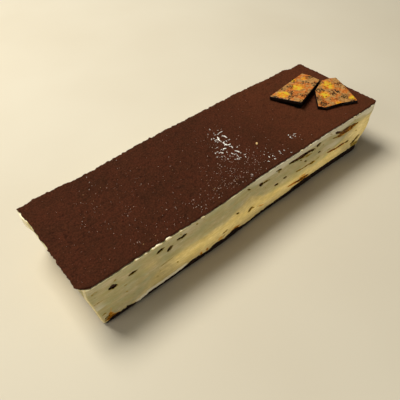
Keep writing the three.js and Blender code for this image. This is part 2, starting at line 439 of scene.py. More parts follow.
def cream_shade(places, outward):
    """Which cream it is, with light painted in: -1 for milky, 0 for smeared and greyish, 1 for yellow, low
    down a painted warm reflection from below, and 2 for whiter cream painted as highlight.
    """
    x, y, z = places.T
    wavy = 2.2 * lumps(places, (14, 14, 6), 2)
    near = smoothstep(-outward[:, 1], 0.2, 0.8)
    left = smoothstep(-outward[:, 0], 0.2, 0.8)
    pale_top = 24 + 9 * lumps(places, 44, 1)
    pale_top += (np.interp(x, *zip(*PALE_TOP)) - pale_top) * near
    blend = 3.5 + 6 * smoothstep(-x, 85, 120)
    # Below pale_top the cream is painted yellow, a painted warm reflection from below.
    shade = 1 - smoothstep(z + wavy, pale_top - 1.5 - blend, pale_top - 1.5 + blend)
    milky = smoothstep(z + wavy, 46, 51) * (0.3 + 0.7 * smoothstep(x, -30, 30))
    shade = shade - milky * (1 - shade)
    for along, up, reach, reach_up, patch_shade in NEAR_PATCHES:
        weight = near * np.exp(-(((x - along) / reach) ** 2) - ((z + wavy - up) / reach_up) ** 2)
        shade += (patch_shade - shade) * weight
    # The knob tops, the far left bulge and the near left arris are whitened as painted highlights.
    knob_tops = near * smoothstep(z, 53, 54.2) * np.minimum(edge_knobs(x, -1 - 0 * x) * 3, 1)
    painted_highlight = np.maximum(knob_tops, left * smoothstep(y, 26, 42) * smoothstep(z, 30, 42))
    arris = smoothstep(-outward[:, 0], 0.12, 0.4) * smoothstep(-outward[:, 1], 0.2, 0.6)
    painted_highlight = np.maximum(painted_highlight, 0.8 * arris)
    return shade + (2 - shade) * painted_highlight


# Knobs of cream that stand up past the cocoa on the near top edge: place, half width and height.
EDGE_KNOBS = (
    (-133, 1.8, 0.5), (-125, 1.6, 0.35), (-118, 1.6, 0.45), (-113, 3, 0.7), (-103.4, 2.6, 1),
    (-91, 1.5, 0.3), (-68, 1.2, 0.3), (57, 1.6, 0.5), (69, 1.6, 0.5), (140, 1.5, 0.5), (148, 1.4, 0.4),
)


def edge_knobs(x, out_y):
    """How far the cream stands up past the near edge of the cocoa."""
    rise = np.zeros(len(x))
    for place, half_width, height in EDGE_KNOBS:
        rise = np.maximum(rise, height * np.exp(-(((x - place) / half_width) ** 4)))
    return rise * smoothstep(-out_y, 0.8, 1)


def smeared_face(places, outward):
    """How far the smeared cream stands out from the cut face."""
    x, y, z = places.T
    tilted = np.column_stack([x, y, z - 0.045 * x])
    stand = 0.32 * lumps(tilted, (26, 26, 9), 0) * (1 - 0.75 * smoothstep(z, 42, 53))
    stand += 0.15 * lumps(tilted, (38, 38, 2.3), 1)
    stand += 0.09 * lumps(tilted, (17, 17, 1.1), 2)
    stand += 0.05 * lumps(places, 1.3, 3)
    bulge = np.exp(-(((y - 44) / 9) ** 2) - ((z - 45) / 8) ** 2)
    rim = smoothstep(z, 42, 52)
    left = np.clip(-outward[:, 0], 0, 1)
    stand += (2.0 * bulge + 0.4 * rim * smoothstep(y, 0, 20)) * left
    stand -= 1.1 * left * (1 - smoothstep(y, -30, 5))
    stand -= 0.15 * smoothstep(z, CREAM_TOP - 0.8, CREAM_TOP)
    return stand


def hem_height(share):
    """Height at which the cream ends, low down, each share of the way round."""
    x, y, _, out_y = round_the_bar(share, 0)
    places = level_places(x, y)
    near = np.interp(x, *zip(*NEAR_HEM))
    hidden = 4.6 + 2.6 * lumps(places, 24, 2)
    height = hidden + (near - hidden) * smoothstep(-out_y, 0.3, 0.9)
    return np.maximum(height + 0.8 * rough_lumps(places, 3.4, 1), 0.5)


def seam_height(middle):
    """A wavering height near the middle of a sponge's edge, each share of the way round."""
    def height(share):
        x, y, _, _ = round_the_bar(share, 0)
        return middle + 0.5 * lumps(level_places(x, y), 18, 1)
    return height


def top_edge(share):
    """Height at which the cream ends under the cocoa, each share of the way round."""
    x, y, _, out_y = round_the_bar(share, 0)
    places = level_places(x, y)
    ragged = 1 + 0.5 * lumps(places, 1.6, 3)
    return CREAM_TOP + 0.06 * lumps(places, 3, 0) + edge_knobs(x, out_y) * ragged


def turn_in_hem(places, outward, shares, stand, rusty, shade):
    """Swells the cream over its hem and turns it in there, rusty but for one stretch whose pale lip is a
    painted highlight.
    """
    above_hem = places[:, 2] - hem_height(shares)
    x = places[:, 0]
    lip = smoothstep(-outward[:, 1], 0.5, 0.9) * smoothstep(x, -150, -140) * (1 - smoothstep(x, -92, -82))
    at_hem = 1 - smoothstep(above_hem, 0, 0.7)
    stand = stand + (0.35 + 0.9 * lip) * (1 - smoothstep(above_hem, 0.8, 3)) - 1.1 * at_hem
    rusty = np.maximum(rusty, 0.4 * at_hem * (1 - lip))
    # The pale lip is whitened as a painted highlight.
    return stand, rusty, np.maximum(shade, 1.95 * lip * (1 - smoothstep(above_hem, 2, 3.8)))


def cream_layer(node, low_edge, high_edge, material):
    """A slab of cream with a thin smeared skirt over the edges of the sponges above and below it."""
    slab_low, slab_high = layer_heights(node)
    middle = np.array([0.5])
    face_rows = round((high_edge(middle)[0] - low_edge(middle)[0]) / ROW_HEIGHT)
    rows = face_rows + 4

    def section(row, share):
        low, high = low_edge(share), high_edge(share)
        if row == 0:
            return SKIRT_INSET, slab_low, False
        if row == 1:
            return SKIRT_INSET, np.minimum(low + 0.3, slab_low), False
        if row == rows - 1:
            return SKIRT_INSET, np.maximum(high - 0.3, slab_high), False
        if row == rows:
            return SKIRT_INSET, slab_high, False
        return 0, low + (high - low) * (row - 2) / face_rows, True

    mesh = drum(rows)
    places, outward, on_face = press_onto_bar(mesh, rows, section)
    depth, brown, rusty = streaks_on_faces(places, outward)
    shade = cream_shade(places, outward)
    stand = smeared_face(places, outward) - depth
    if node == "cream_lower":
        shares = shares_round(read_places(mesh))
        stand, rusty, shade = turn_in_hem(places, outward, shares, stand, rusty, shade)
    places[:, :2] += outward * (stand * on_face)[:, None]
    write_places(mesh, places)
    add_mask(mesh, "streak", brown)
    add_mask(mesh, "rust", rusty)
    add_mask(mesh, "shade", shade)
    finish_piece(mesh, node + "_smeared", material, "cream", node)


# ---------- Sponge ----------

SPONGE_INSET = 1.35  # the upper sponges stand back this far from the cut face of the cream
SPONGE_CAP_INSET = 4.5  # and the flat of each slab further, behind its crumbly edge


def porous(places, size, seed):
    """How far a cut sponge face stands in, with open pores."""
    crumb = rough_lumps(places, (size * 1.3, size * 1.3, size), seed)
    pores = smoothstep(lumps(places, (size * 0.8, size * 0.8, size * 0.55), seed + 1), 0.25, 0.75)
    return 0.22 * crumb + 0.75 * pores


def sponge_layer(node, material, slot, face_inset, pore_size):
    """A slab of sponge with an open, crumbly cut edge."""
    low, high = layer_heights(node)
    face_rows = round((high - low) / ROW_HEIGHT)
    rows = face_rows + 2

    def section(row, share):
        if row in (0, rows):
            return SPONGE_CAP_INSET, low if row == 0 else high, False
        return SPONGE_INSET, low + (high - low) * (row - 1) / face_rows, True

    mesh = drum(rows)
    places, outward, on_face = press_onto_bar(mesh, rows, section)
    pit = porous(places, pore_size, 1)
    stand = SPONGE_INSET - face_inset(places[:, 2], outward) - pit
    places[:, :2] += outward * (stand * on_face)[:, None]
    write_places(mesh, places)
    # The pit depth also darkens the sponge's colour, as painted shade.
    add_mask(mesh, "pit", pit)
    finish_piece(mesh, node + "_crumb", material, slot, node)


def upper_sponge_inset(z, outward):
    """The upper sponges stand back evenly."""
    return SPONGE_INSET + 0 * z


def soaked_sponge_inset(z, outward):
    """The soaked bottom sponge sags out low down, rounds in at the very bottom, and stands further in at
    both ends."""
    sag = 1.3 - 1.4 * (1 - smoothstep(z, 1, 5)) + 0.5 * (1 - smoothstep(z, 0, 0.8))
    return sag + 2.4 * smoothstep(-outward[:, 0], 0.3, 0.9) + 2 * smoothstep(outward[:, 0], 0.3, 0.9)


# ---------- Cocoa ----------

# The CAD node that each broken shard stands for, its corners from above, and how far it is tipped.
LEFT_SHARD = ((94.5, 22.5), (106.5, -11.5), (159, 5), (161, 21), (159.5, 31))
RIGHT_SHARD = (
    (119, -23.5), (123, -30), (141.5, -36), (159, -45), (171, -20.5), (178, -2.5), (170.5, 2),
    (160.5, 4.5), (139.5, -3),
)
PLAQUES = (("plaque_left", LEFT_SHARD, -6, 0), ("plaque_right", RIGHT_SHARD, 2, -0.7))

COCOA_STEP = 0.66  # one face of the cocoa's top

# How far the cocoa stops short of the cream's edge on the two long sides.
COCOA_NEAR = 1.0
COCOA_FAR = -0.45


def cocoa_left(y):
    """The cocoa stops a little short of the left end."""
    return 0.3 + 0.3 * smoothstep(y, -20, 12)


def cocoa_right(y):
    """The cocoa overhangs the right end, most of all at the near corner."""
    return -1.1 + 0.7 * smoothstep(y, -48, -36) + 0.6 * smoothstep(y, 28, 36) - 1.0 * smoothstep(y, 42, 50)


def cocoa_far(x):
    """The cocoa overhangs the far side a little, except at its two corners."""
    return COCOA_FAR + 1.7 * smoothstep(-x, 163, 174) + 0.7 * smoothstep(x, 150, 158)


def round_corners(x, y, half_length, half_width):
    """Bends the corner blocks of a plain rectangle of points into quarter rounds."""
    signs = ((1, -1), (1, 1), (-1, 1), (-1, -1))
    new_x, new_y = x.copy(), y.copy()
    for (sign_x, sign_y), radius in zip(signs, COCOA_CORNERS):
        along = (sign_x * x - half_length) / radius + 1
        out = (sign_y * y - half_width) / radius + 1
        block = (along > 0) & (out > 0)
        round_along, round_out = round_block(along[block], out[block])
        new_x[block] = sign_x * (half_length - radius + radius * round_along)
        new_y[block] = sign_y * (half_width - radius + radius * round_out)
    return new_x, new_y


def cocoa_relief(x, y):
    """Height of the sifted cocoa above its flat level."""
    places = level_places(x, y)
    height = 0.16 * lumps(places, 34, 0) + 0.14 * lumps(places, 9, 1)
    height += 0.16 * rough_lumps(places, 4, 2, 2)
    clods = smoothstep(lumps(places, 2.2, 3), 0.3, 0.8)
    height += 0.3 * clods + 0.1 * lumps(places, 1.4, 1)
    return height - 0.3 * cocoa_pits(places)


def cocoa_pits(places):
    """Small hollows where the cocoa sank, deeper in some stretches than in others."""
    pits = smoothstep(lumps(places, 2.8, 2), 0.42, 0.72)
    return pits * smoothstep(lumps(places, 40, 1), -0.5, 0.4)


def rim_edges(corners):
    """Start and end of each edge round a shard."""
    return zip(np.array(corners), np.roll(corners, -1, axis=0))


def turning(corners):
    """1 when the corners run anticlockwise, and -1 when they run clockwise."""
    x, y = np.array(corners).T
    return np.sign(np.sum(x * np.roll(y, -1) - y * np.roll(x, -1)))


def under_plaques(spots):
    """Where the cocoa under the plaques is painted dark as a painted shadow, from 0 to 1."""
    painted_plaque_shade = np.zeros(len(spots))
    for _, corners, _, _ in PLAQUES:
        inside = np.full(len(spots), np.inf)
        way = turning(corners)
        for start, end in rim_edges(corners):
            across = (end - start)[::-1] * (-way, way) / np.hypot(*(end - start))
            inside = np.minimum(inside, (spots - start) @ across)
        painted_plaque_shade = np.maximum(painted_plaque_shade, smoothstep(inside, -0.5, 1.5))
    return painted_plaque_shade


def level_cocoa(half_length, half_width):
    """A fine level bed with three rows of wall under its rim, closed underneath."""
    bm = bmesh.new()
    bmesh.ops.create_grid(
        bm, x_segments=round(2 * half_length / COCOA_STEP), y_segments=round(2 * half_width / COCOA_STEP),
        size=1, matrix=Matrix.Diagonal((half_length, half_width, 1, 1))
    )
    for _ in range(3):
        rim = [edge for edge in bm.edges if edge.is_boundary]
        grown = bmesh.ops.extrude_edge_only(bm, edges=rim)["geom"]
        rim_points = [part for part in grown if isinstance(part, bmesh.types.BMVert)]
        bmesh.ops.translate(bm, verts=rim_points, vec=(0, 0, -1))
    bmesh.ops.contextual_create(bm, geom=[edge for edge in bm.edges if edge.is_boundary])
    bmesh.ops.recalc_face_normals(bm, faces=bm.faces)
    return mesh_from(bm, "cocoa")


def crumbled_in(x, y, level, from_end, from_side):
    """How far the cocoa's edge is pulled in along the bar and across it."""
    flat = np.column_stack([x, y, level])
    crumble = 0.35 * lumps(flat, (9, 9, 3), 0) + 0.95 * rough_lumps(flat, (3.6, 3.6, 2), 1)
    crumble += 0.5 * lumps(flat, 1.9, 3)
    crumble *= np.where((y < 0) & (from_side < from_end), 0.7, 1.0)
    end_inset = np.where(x < 0, cocoa_left(y), cocoa_right(y))
    side_inset = np.where(y < 0, COCOA_NEAR + 0.55 * edge_knobs(x, -1 - 0 * x), cocoa_far(x))
    pull_x = (crumble + end_inset) * (1 - smoothstep(from_end, 0, 3))
    return pull_x, (crumble + side_inset) * (1 - smoothstep(from_side, 0, 3))


def cocoa_layer(material):
    """The sifted cocoa: a fine bed with a crumbly edge that is undercut a little."""
    half_length, half_width = BAR_LENGTH / 2, BAR_WIDTH / 2
    low, high = layer_heights("cocoa_top")
    mesh = level_cocoa(half_length, half_width)
    plain_x, plain_y, level = read_places(mesh).T
    from_end = half_length - np.abs(plain_x)
    from_side = half_width - np.abs(plain_y)
    x, y = round_corners(plain_x, plain_y, half_length, half_width)
    pull_x, pull_y = crumbled_in(x, y, level, from_end, from_side)
    true_x, true_y = uneven(x, y, np.full(len(x), high))
    true_x = true_x - np.sign(x) * pull_x
    true_y = true_y - np.sign(y) * pull_y
    rim_fall = np.where(y < 0, 0.6, 0.2) * (1 - smoothstep(np.minimum(from_end, from_side), 0, 1.4))
    top = high + cocoa_relief(true_x, true_y) - rim_fall
    z = np.select([level > -0.5, level > -1.5, level > -2.5], [top, high - 0.8, low + 0.35], low)
    inward = np.select([level > -1.5, level > -2.5], [0.0, 0.12], 0.5)
    true_x = true_x * (1 - inward / half_length)
    true_y = true_y * (1 - inward / half_width)
    write_places(mesh, np.column_stack([true_x, true_y, z]))
    # The hollows are also painted darker in the cocoa's colour, as painted shade.
    add_mask(mesh, "pit", cocoa_pits(level_places(true_x, true_y)))
    # Painted light: the cocoa grows lighter towards the right end.
    add_mask(mesh, "painted_light_towards_right", smoothstep(true_x, -10, 130))
    # Painted shadow: the cocoa under the plaques is darkened in its colour.
    add_mask(mesh, "painted_plaque_shade", under_plaques(np.column_stack([true_x, true_y])))
    finish_piece(mesh, "sifted_cocoa", material, "cocoa", "cocoa_top")


# ---------- Chocolate plaques ----------

PLAQUE_THICKNESS = 3.5
PLAQUE_GRAIN = 0.45  # size of the faces that the broken edges are worked in

# Where the print's yellow and amber patches are, and its crowds of black flecks: place and radius.
PRINT_SPOTS = (
    (107, 14, 7), (130, 13, 7), (139, 27, 3.5), (150, 21, 4), (159, -5, 7.5), (141, -15, 6), (159, -38, 4),
    (140, -34, 3),
)
FLECK_SPOTS = (
    (125, 20, 5.5), (137, 24, 4), (122, -4, 6.5), (113, 3, 4), (172, -14, 5), (150, -19, 5), (154, -31, 5),
    (127, -25, 5.5), (145, -7, 4),
)


def remeshed(mesh, size):
    """The mesh again, closed, in even faces of that size."""
    block = bpy.data.objects.new("block", mesh)
    bpy.context.scene.collection.objects.link(block)
    modifier = block.modifiers.new("even_faces", "REMESH")
    modifier.mode = "VOXEL"
    modifier.voxel_size = size
    view = bpy.context.evaluated_depsgraph_get()
    even = bpy.data.meshes.new_from_object(block.evaluated_get(view))
    bpy.data.objects.remove(block)
    return even


def from_rim(spots, corners):
    """How far each spot is from the nearest edge of a shard."""
    nearest = np.full(len(spots), np.inf)
    for start, end in rim_edges(corners):
        edge = end - start
        share = np.clip((spots - start) @ edge / (edge @ edge), 0, 1)
        nearest = np.minimum(nearest, np.hypot(*(spots - start - share[:, None] * edge).T))
    return nearest


def ragged_patches(spots, centres):
    """How strongly each spot lies in one of some ragged patches, from 0 to 1."""
    ragged = 0.5 * rough_lumps(level_places(*spots.T), 4.5, 1)
    strength = np.zeros(len(spots))
    for x, y, radius in centres:
        distance = np.hypot(spots[:, 0] - x, spots[:, 1] - y)
        strength = np.maximum(strength, np.exp(-((distance / radius) ** 2)))
    return np.clip(strength + ragged * np.sqrt(strength), 0, 1)


def chocolate_plaque(node, corners, tip_x, tip_y, material):
    """A shard broken from a sheet of chocolate, printed on top."""
    middle = np.mean(corners, axis=0)
    bm = bmesh.new()
    rim = [bm.verts.new((x - middle[0], y - middle[1], 0)) for x, y in corners]
    underside = bm.faces.new(rim)
    grown = bmesh.ops.extrude_face_region(bm, geom=[underside])["geom"]
    top_points = [part for part in grown if isinstance(part, bmesh.types.BMVert)]
    bmesh.ops.translate(bm, verts=top_points, vec=(0, 0, PLAQUE_THICKNESS))
    bmesh.ops.recalc_face_normals(bm, faces=bm.faces)
    mesh = remeshed(mesh_from(bm, "shard"), PLAQUE_GRAIN)

    places = read_places(mesh)
    normals = np.empty(len(places) * 3)
    mesh.vertices.foreach_get("normal", normals)
    normals = normals.reshape(-1, 3)
    sideways = 1 - np.abs(normals[:, 2])
    height = places[:, 2] / PLAQUE_THICKNESS
    broken = 0.34 * rough_lumps(places, (3.4, 3.4, 2.2), 0) + 0.14 * lumps(places, 0.9, 2)
    places += normals * (sideways * broken)[:, None]
    places[:, 2] += (1 - sideways) * 0.05 * lumps(places, 7, 1)
    rim = from_rim(places[:, :2] + middle, corners)
    add_mask(mesh, "printed", smoothstep(height, 0.85, 0.95) * np.clip((rim - 0.1) / 0.6, 0, 1))
    add_mask(mesh, "colour_spot", ragged_patches(places[:, :2] + middle, PRINT_SPOTS))
    add_mask(mesh, "fleck_spot", ragged_patches(places[:, :2] + middle, FLECK_SPOTS))

    tip = Matrix.Rotation(math.radians(tip_x), 3, "X") @ Matrix.Rotation(math.radians(tip_y), 3, "Y")
    places = places @ np.array(tip).T
    places[:, :2] += middle
    places[:, 2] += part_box(node)[0].z / MM - places[:, 2].min()
    write_places(mesh, places)
    finish_piece(mesh, node + "_shard", material, "chocolate", node)


# ---------- Loose bits ----------

# The largest flakes of sugar: place, length, width, heading and how far the flake curls, in degrees.
LARGE_FLAKES = (
    (8, -1, 11, 1.6, 285, 175), (8, 11, 3, 1.7, 60, 0), (7, 8, 3.5, 1.5, 70, 20), (14, 16, 5, 1, 15, -30),
    (15, 7, 3, 1.5, 95, 0), (8, -16, 4.5, 1.6, 115, 50), (2, -5, 3, 1.6, 150, 0), (9, -8, 3.5, 1, 65, 30),
    (-4, -8, 2.7, 1.4, 115, 0), (4, -21, 3.5, 0.8, 75, 30), (69, -35, 2.8, 0.9, 150, 60),
    (-5, -48, 5.5, 0.5, 40, 250),
)

# Areas over which smaller flakes fell: centre, spread along and across, how many, and their length.
FLAKE_FALLS = (
    (12, 15, 5, 5, 12, 1.7),
    (6, 4, 6, 6, 16, 1.7),
    (-4, -10, 6, 5, 11, 1.6),
    (6, -23, 6, 4, 8, 1.5),
    (64, -35, 3, 2, 5, 1.4),
    (38, -43, 9, 5, 8, 1.3),
    (20, -43, 5, 4, 4, 1.1),
)

# Areas over which finer sugar fell: centre, spread along and across, how many grains, how large.
SUGAR_FALLS = (
    (6, 3, 12, 12, 40, 0.45),
    (-5, -17, 13, 8, 26, 0.6),
    (-12, -28, 17, 9, 105, 0.5),
    (16, -36, 17, 9, 24, 0.55),
    (66, -35.5, 4.5, 3.5, 8, 0.55),
    (-20, -44, 28, 6, 70, 0.5),
    (-62, -43, 42, 9, 120, 0.46),
    (-115, 2, 34, 24, 150, 0.4),
    (-24, 2, 50, 26, 60, 0.4),
    (90, -44, 40, 6, 12, 0.4),
    (-20, 34, 70, 14, 24, 0.4),
)


def joined_knobs(count, subdivisions):
    """One mesh that holds many small round knobs."""
    bm = bmesh.new()
    bmesh.ops.create_icosphere(bm, subdivisions=subdivisions, radius=0.5)
    knob = mesh_from(bm, "knob")
    bm = bmesh.new()
    for _ in range(count):
        bm.from_mesh(knob)
    return mesh_from(bm, "knobs")


def scattered(name, bits, material, slot, ragged, seed, subdivisions=1):
    """Small irregular bits as one piece. Each bit is its place, its length, width and height, and its
    turn about the upright."""
    mesh = joined_knobs(len(bits), subdivisions)
    corners = read_places(mesh).reshape(len(bits), -1, 3)
    rng = np.random.default_rng(seed)
    corners = corners * rng.uniform(1 - ragged, 1 + ragged, corners.shape)
    bits = np.array(bits, float)
    x, y, z = np.moveaxis(corners * bits[:, None, 3:6], -1, 0)
    turn = bits[:, 6, None]
    rise = x * np.sin(rng.uniform(-0.35, 0.35, len(bits)))[:, None]
    across = x * np.cos(turn) - y * np.sin(turn)
    back = x * np.sin(turn) + y * np.cos(turn)
    places = np.stack([across, back, z + rise], axis=-1) + bits[:, None, 0:3]
    write_places(mesh, places.reshape(-1, 3))
    finish_piece(mesh, name, material, slot)


def lying_bit(x, y, length, width, height, lift, turn):
    """A bit that lies on the cocoa, its middle lifted this far above it."""
    cocoa = BAR_HEIGHT + cocoa_relief(np.array([x]), np.array([y]))[0]
    return x, y, cocoa + lift, length, width, height, turn


# The stretch that the plaques cover: along the bar from here to its end, and across it.
PLAQUES_FROM = 92
PLAQUES_ACROSS = (-46, 32)


def is_at_plaques(x, y):
    return x > PLAQUES_FROM and PLAQUES_ACROSS[0] < y < PLAQUES_ACROSS[1]


def is_on_open_cocoa(x, y):
    """True away from the edges and from under the plaques."""
    if abs(x) > BAR_LENGTH / 2 - 4 or abs(y) > BAR_WIDTH / 2 - 3:
        return False
    return not is_at_plaques(x, y)


def fallen_flakes(rng):
    """Smaller flakes, told in the same way as the largest ones."""
    flakes = []
    for centre_x, centre_y, spread_x, spread_y, count, length in FLAKE_FALLS:
        for _ in range(count):
            x = rng.gauss(centre_x, spread_x)
            y = rng.gauss(centre_y, spread_y)
            shape = (length * rng.uniform(0.6, 1.4), rng.uniform(0.6, 1.2))
            bend = (rng.uniform(0, 180), rng.choice((0, 0, 0, -40, 50)))
            if is_on_open_cocoa(x, y):
                flakes.append((x, y, *shape, *bend))
    return tuple(flakes)


def sugar_flakes(material):
    """Flakes of sugar, each a short curled chain of broken crystals."""
    rng = random.Random(5)
    bits = []
    for x, y, length, width, heading, curl in LARGE_FLAKES + fallen_flakes(rng):
        links = max(2, round(length / 0.4))
        headings = np.radians(heading + curl * (np.arange(links) / (links - 1) - 0.5))
        path = np.cumsum(np.column_stack([np.cos(headings), np.sin(headings)]), axis=0) * length / links
        path += np.array((x, y)) - path.mean(axis=0)
        for (at_x, at_y), angle in zip(path, headings):
            size = width * rng.uniform(0.6, 0.9)
            height = size * rng.uniform(0.5, 0.7)
            place = (at_x + rng.gauss(0, 0.08), at_y + rng.gauss(0, 0.08))
            shape = (size, size * rng.uniform(0.7, 1), height)
            bits.append(lying_bit(*place, *shape, height * 0.35, angle + rng.uniform(-0.9, 0.9)))
    scattered("sugar_flakes", bits, material, "sugar", 0.3, 17)


def sugar_grains(material):
    """Finer sugar, scattered thinly over each fall."""
    rng = random.Random(8)
    bits = []
    for centre_x, centre_y, spread_x, spread_y, count, grain in SUGAR_FALLS:
        for _ in range(count):
            x = rng.gauss(centre_x, spread_x)
            y = rng.gauss(centre_y, spread_y)
            if not is_on_open_cocoa(x, y):
                continue
            size = grain * rng.choice((0.7, 0.85, 1, 1.2, 1.7))
            shape = (size, size * rng.uniform(0.5, 0.9), size * 0.6)
            bits.append(lying_bit(x, y, *shape, size * 0.1, rng.uniform(0, math.pi)))
    scattered("sugar_grains", bits, material, "sugar", 0.28, 19)


CLOD_COUNT = 2600


def cocoa_clods(material):
    """Small clods of sifted cocoa that rolled together, few of them under the plaques."""
    rng = random.Random(13)
    bits = []
    while len(bits) < CLOD_COUNT:
        x = rng.uniform(-175, 175)
        y = rng.uniform(-52, 52)
        if (x > BREAK_START - 4 and y > 46) or (is_at_plaques(x, y) and rng.random() < 0.8):
            continue
        size = rng.uniform(0.35, 0.95) * (1.5 if rng.random() < 0.05 else 1)
        bits.append(lying_bit(x, y, size, size * 0.85, size * 0.6, size * 0.12, rng.uniform(0, 3)))
    scattered("cocoa_clods", bits, material, "cocoa", 0.2, 29)


def pale_crumbs(material):
    """Yellowish crumbs of the sponge's crust that fell on the cocoa, one of them large."""
    rng = random.Random(21)
    bits = [lying_bit(29.8, -20.6, 3, 2.3, 1.6, 0.5, 0.5)]
    for _ in range(10):
        x, y = rng.uniform(-170, 88), rng.uniform(-50, 50)
        size = rng.uniform(0.4, 0.7)
        bits.append(lying_bit(x, y, size, size * 0.8, size * 0.6, size * 0.2, rng.uniform(0, 3)))
    scattered("crust_crumbs", bits, material, "crumb", 0.28, 37, 2)


# ---------- Material helpers ----------


def tone(red, green, blue):
    """A colour as it looks on a screen, given the way the shader needs it."""
    def linear(value):
        value /= 255
        return value / 12.92 if value <= 0.04045 else ((value + 0.055) / 1.055) ** 2.4

    return (linear(red), linear(green), linear(blue), 1)


def add_node(tree, kind, inputs, **settings):
    """A shader node with these settings, and its inputs linked or set by name or number."""
    node = tree.nodes.new("ShaderNode" + kind)
    for setting, value in settings.items():
        setattr(node, setting, value)
    for socket, value in inputs.items():
        if isinstance(value, bpy.types.NodeSocket):
            tree.links.new(value, node.inputs[socket])
        else:
            node.inputs[socket].default_value = value
    return node


def read_mask(tree, name):
    return add_node(tree, "Attribute", {}, attribute_name=name).outputs["Fac"]


def maths(tree, operation, first, second):
    return add_node(tree, "Math", {0: first, 1: second}, operation=operation).outputs[0]


def weaker(tree, mask, share):
    return maths(tree, "MULTIPLY", mask, share)


def mixed(tree, mask, first, second):
    """The second colour laid over the first one where the mask is."""
    return add_node(tree, "Mix", {0: mask, 6: first, 7: second}, data_type="RGBA").outputs[2]


def two_toned(tree, mask, first, second):
    return mixed(tree, mask, tone(*first), tone(*second))


def coated(tree, colour, *coats):
    """A colour with coats of other tones laid over it in turn, each where its mask is."""
    for mask, coat in coats:
        colour = mixed(tree, mask, colour, tone(*coat))
    return colour


def stepped(tree, value, low, high, to_low=0.0, to_high=1.0):
    """A value brought from one range to another, smoothly."""
    sockets = {"Value": value, "From Min": low, "From Max": high, "To Min": to_low, "To Max": to_high}
    return add_node(tree, "MapRange", sockets, interpolation_type="SMOOTHSTEP").outputs[0]


def new_group(name, inputs, output):
    """An empty shader node group with named number inputs and one output."""
    group = bpy.data.node_groups.new(name, "ShaderNodeTree")
    for socket, value in inputs.items():
        made = group.interface.new_socket(name=socket, in_out="INPUT", socket_type="NodeSocketFloat")
        made.default_value = value
    group.interface.new_socket(name=output, in_out="OUTPUT", socket_type="NodeSocketFloat")
    entry = group.nodes.new("NodeGroupInput")
    leave = group.nodes.new("NodeGroupOutput")
    return group, entry.outputs, leave.inputs[output]


def millimetre_places(tree, across, up):
    """Object coordinates in cells that are so many millimetres across and up."""
    place = add_node(tree, "TexCoord", {}).outputs["Object"]
    wide = maths(tree, "DIVIDE", 1 / MM, across)
    high = maths(tree, "DIVIDE", 1 / MM, up)
    cells = add_node(tree, "CombineXYZ", {"X": wide, "Y": wide, "Z": high}).outputs[0]
    return add_node(tree, "VectorMath", {0: place, 1: cells}, operation="MULTIPLY").outputs[0]


def make_mottle():
    """Soft patches: Across and Up are their size in millimetres, and Shift picks other patches."""
    group, entry, leave = new_group("mottle", {"Across": 10, "Up": 10, "Shift": 0, "Detail": 3}, "Amount")
    cells = millimetre_places(group, entry["Across"], entry["Up"])
    shifted = add_node(group, "VectorMath", {0: cells, 1: entry["Shift"]}).outputs[0]
    noise = add_node(group, "TexNoise", {"Vector": shifted, "Scale": 1, "Detail": entry["Detail"]})
    group.links.new(stepped(group, noise.outputs[0], 0.3, 0.7), leave)
    return group


def make_specks():
    """Scattered round specks: Spacing in millimetres, Size as a share of it, and Share that shows."""
    sockets = {"Spacing": 2, "Size": 0.2, "Share": 0.5, "Shift": 0}
    group, entry, leave = new_group("specks", sockets, "Mask")
    cells = millimetre_places(group, entry["Spacing"], entry["Spacing"])
    shifted = add_node(group, "VectorMath", {0: cells, 1: entry["Shift"]}).outputs[0]
    dots = add_node(group, "TexVoronoi", {"Vector": shifted, "Scale": 1})
    random_value = add_node(group, "SeparateColor", {0: dots.outputs["Color"]}).outputs[0]
    shown = maths(group, "LESS_THAN", random_value, entry["Share"])
    outer = maths(group, "MULTIPLY", entry["Size"], 1.35)
    round_dot = stepped(group, dots.outputs["Distance"], entry["Size"], outer, 1.0, 0.0)
    group.links.new(maths(group, "MULTIPLY", shown, round_dot), leave)
    return group


def make_grain():
    """Fine surface relief: Across and Up in millimetres, with a Height for a Bump node."""
    group, entry, leave = new_group("grain", {"Across": 1, "Up": 1, "Sharp": 0.5}, "Height")
    cells = millimetre_places(group, entry["Across"], entry["Up"])
    sockets = {"Vector": cells, "Scale": 1, "Detail": 6, "Roughness": entry["Sharp"]}
    group.links.new(add_node(group, "TexNoise", sockets).outputs[0], leave)
    return group


MOTTLE = make_mottle()
SPECKS = make_specks()
GRAIN = make_grain()


def use_group(tree, group, **inputs):
    return add_node(tree, "Group", inputs, node_tree=group).outputs[0]


def mottle(tree, across, up, shift, detail=3):
    """Soft patches that are so many millimetres across and up."""
    return use_group(tree, MOTTLE, Across=across, Up=up, Shift=shift, Detail=detail)


def new_material(name, **settings):
    """A material whose shader has these plain settings, with its node tree and its shader."""
    material = bpy.data.materials.new(name)
    material.use_nodes = True
    tree = material.node_tree
    shader = tree.nodes["Principled BSDF"]
    for setting, value in settings.items():
        shader.inputs[setting.replace("_", " ").title().replace("Ior", "IOR")].default_value = value
    return material, tree, shader


def finish_surface(tree, shader, colour, roughness, height, depth, strength=1.0):
    """Wires a colour, a roughness and a relief of some depth in millimetres into a shader."""
    tree.links.new(colour, shader.inputs["Base Color"])
    tree.links.new(roughness, shader.inputs["Roughness"])
    bump = add_node(tree, "Bump", {"Height": height, "Strength": strength, "Distance": depth * MM})
    tree.links.new(bump.outputs[0], shader.inputs["Normal"])


# ---------- Materials ----------


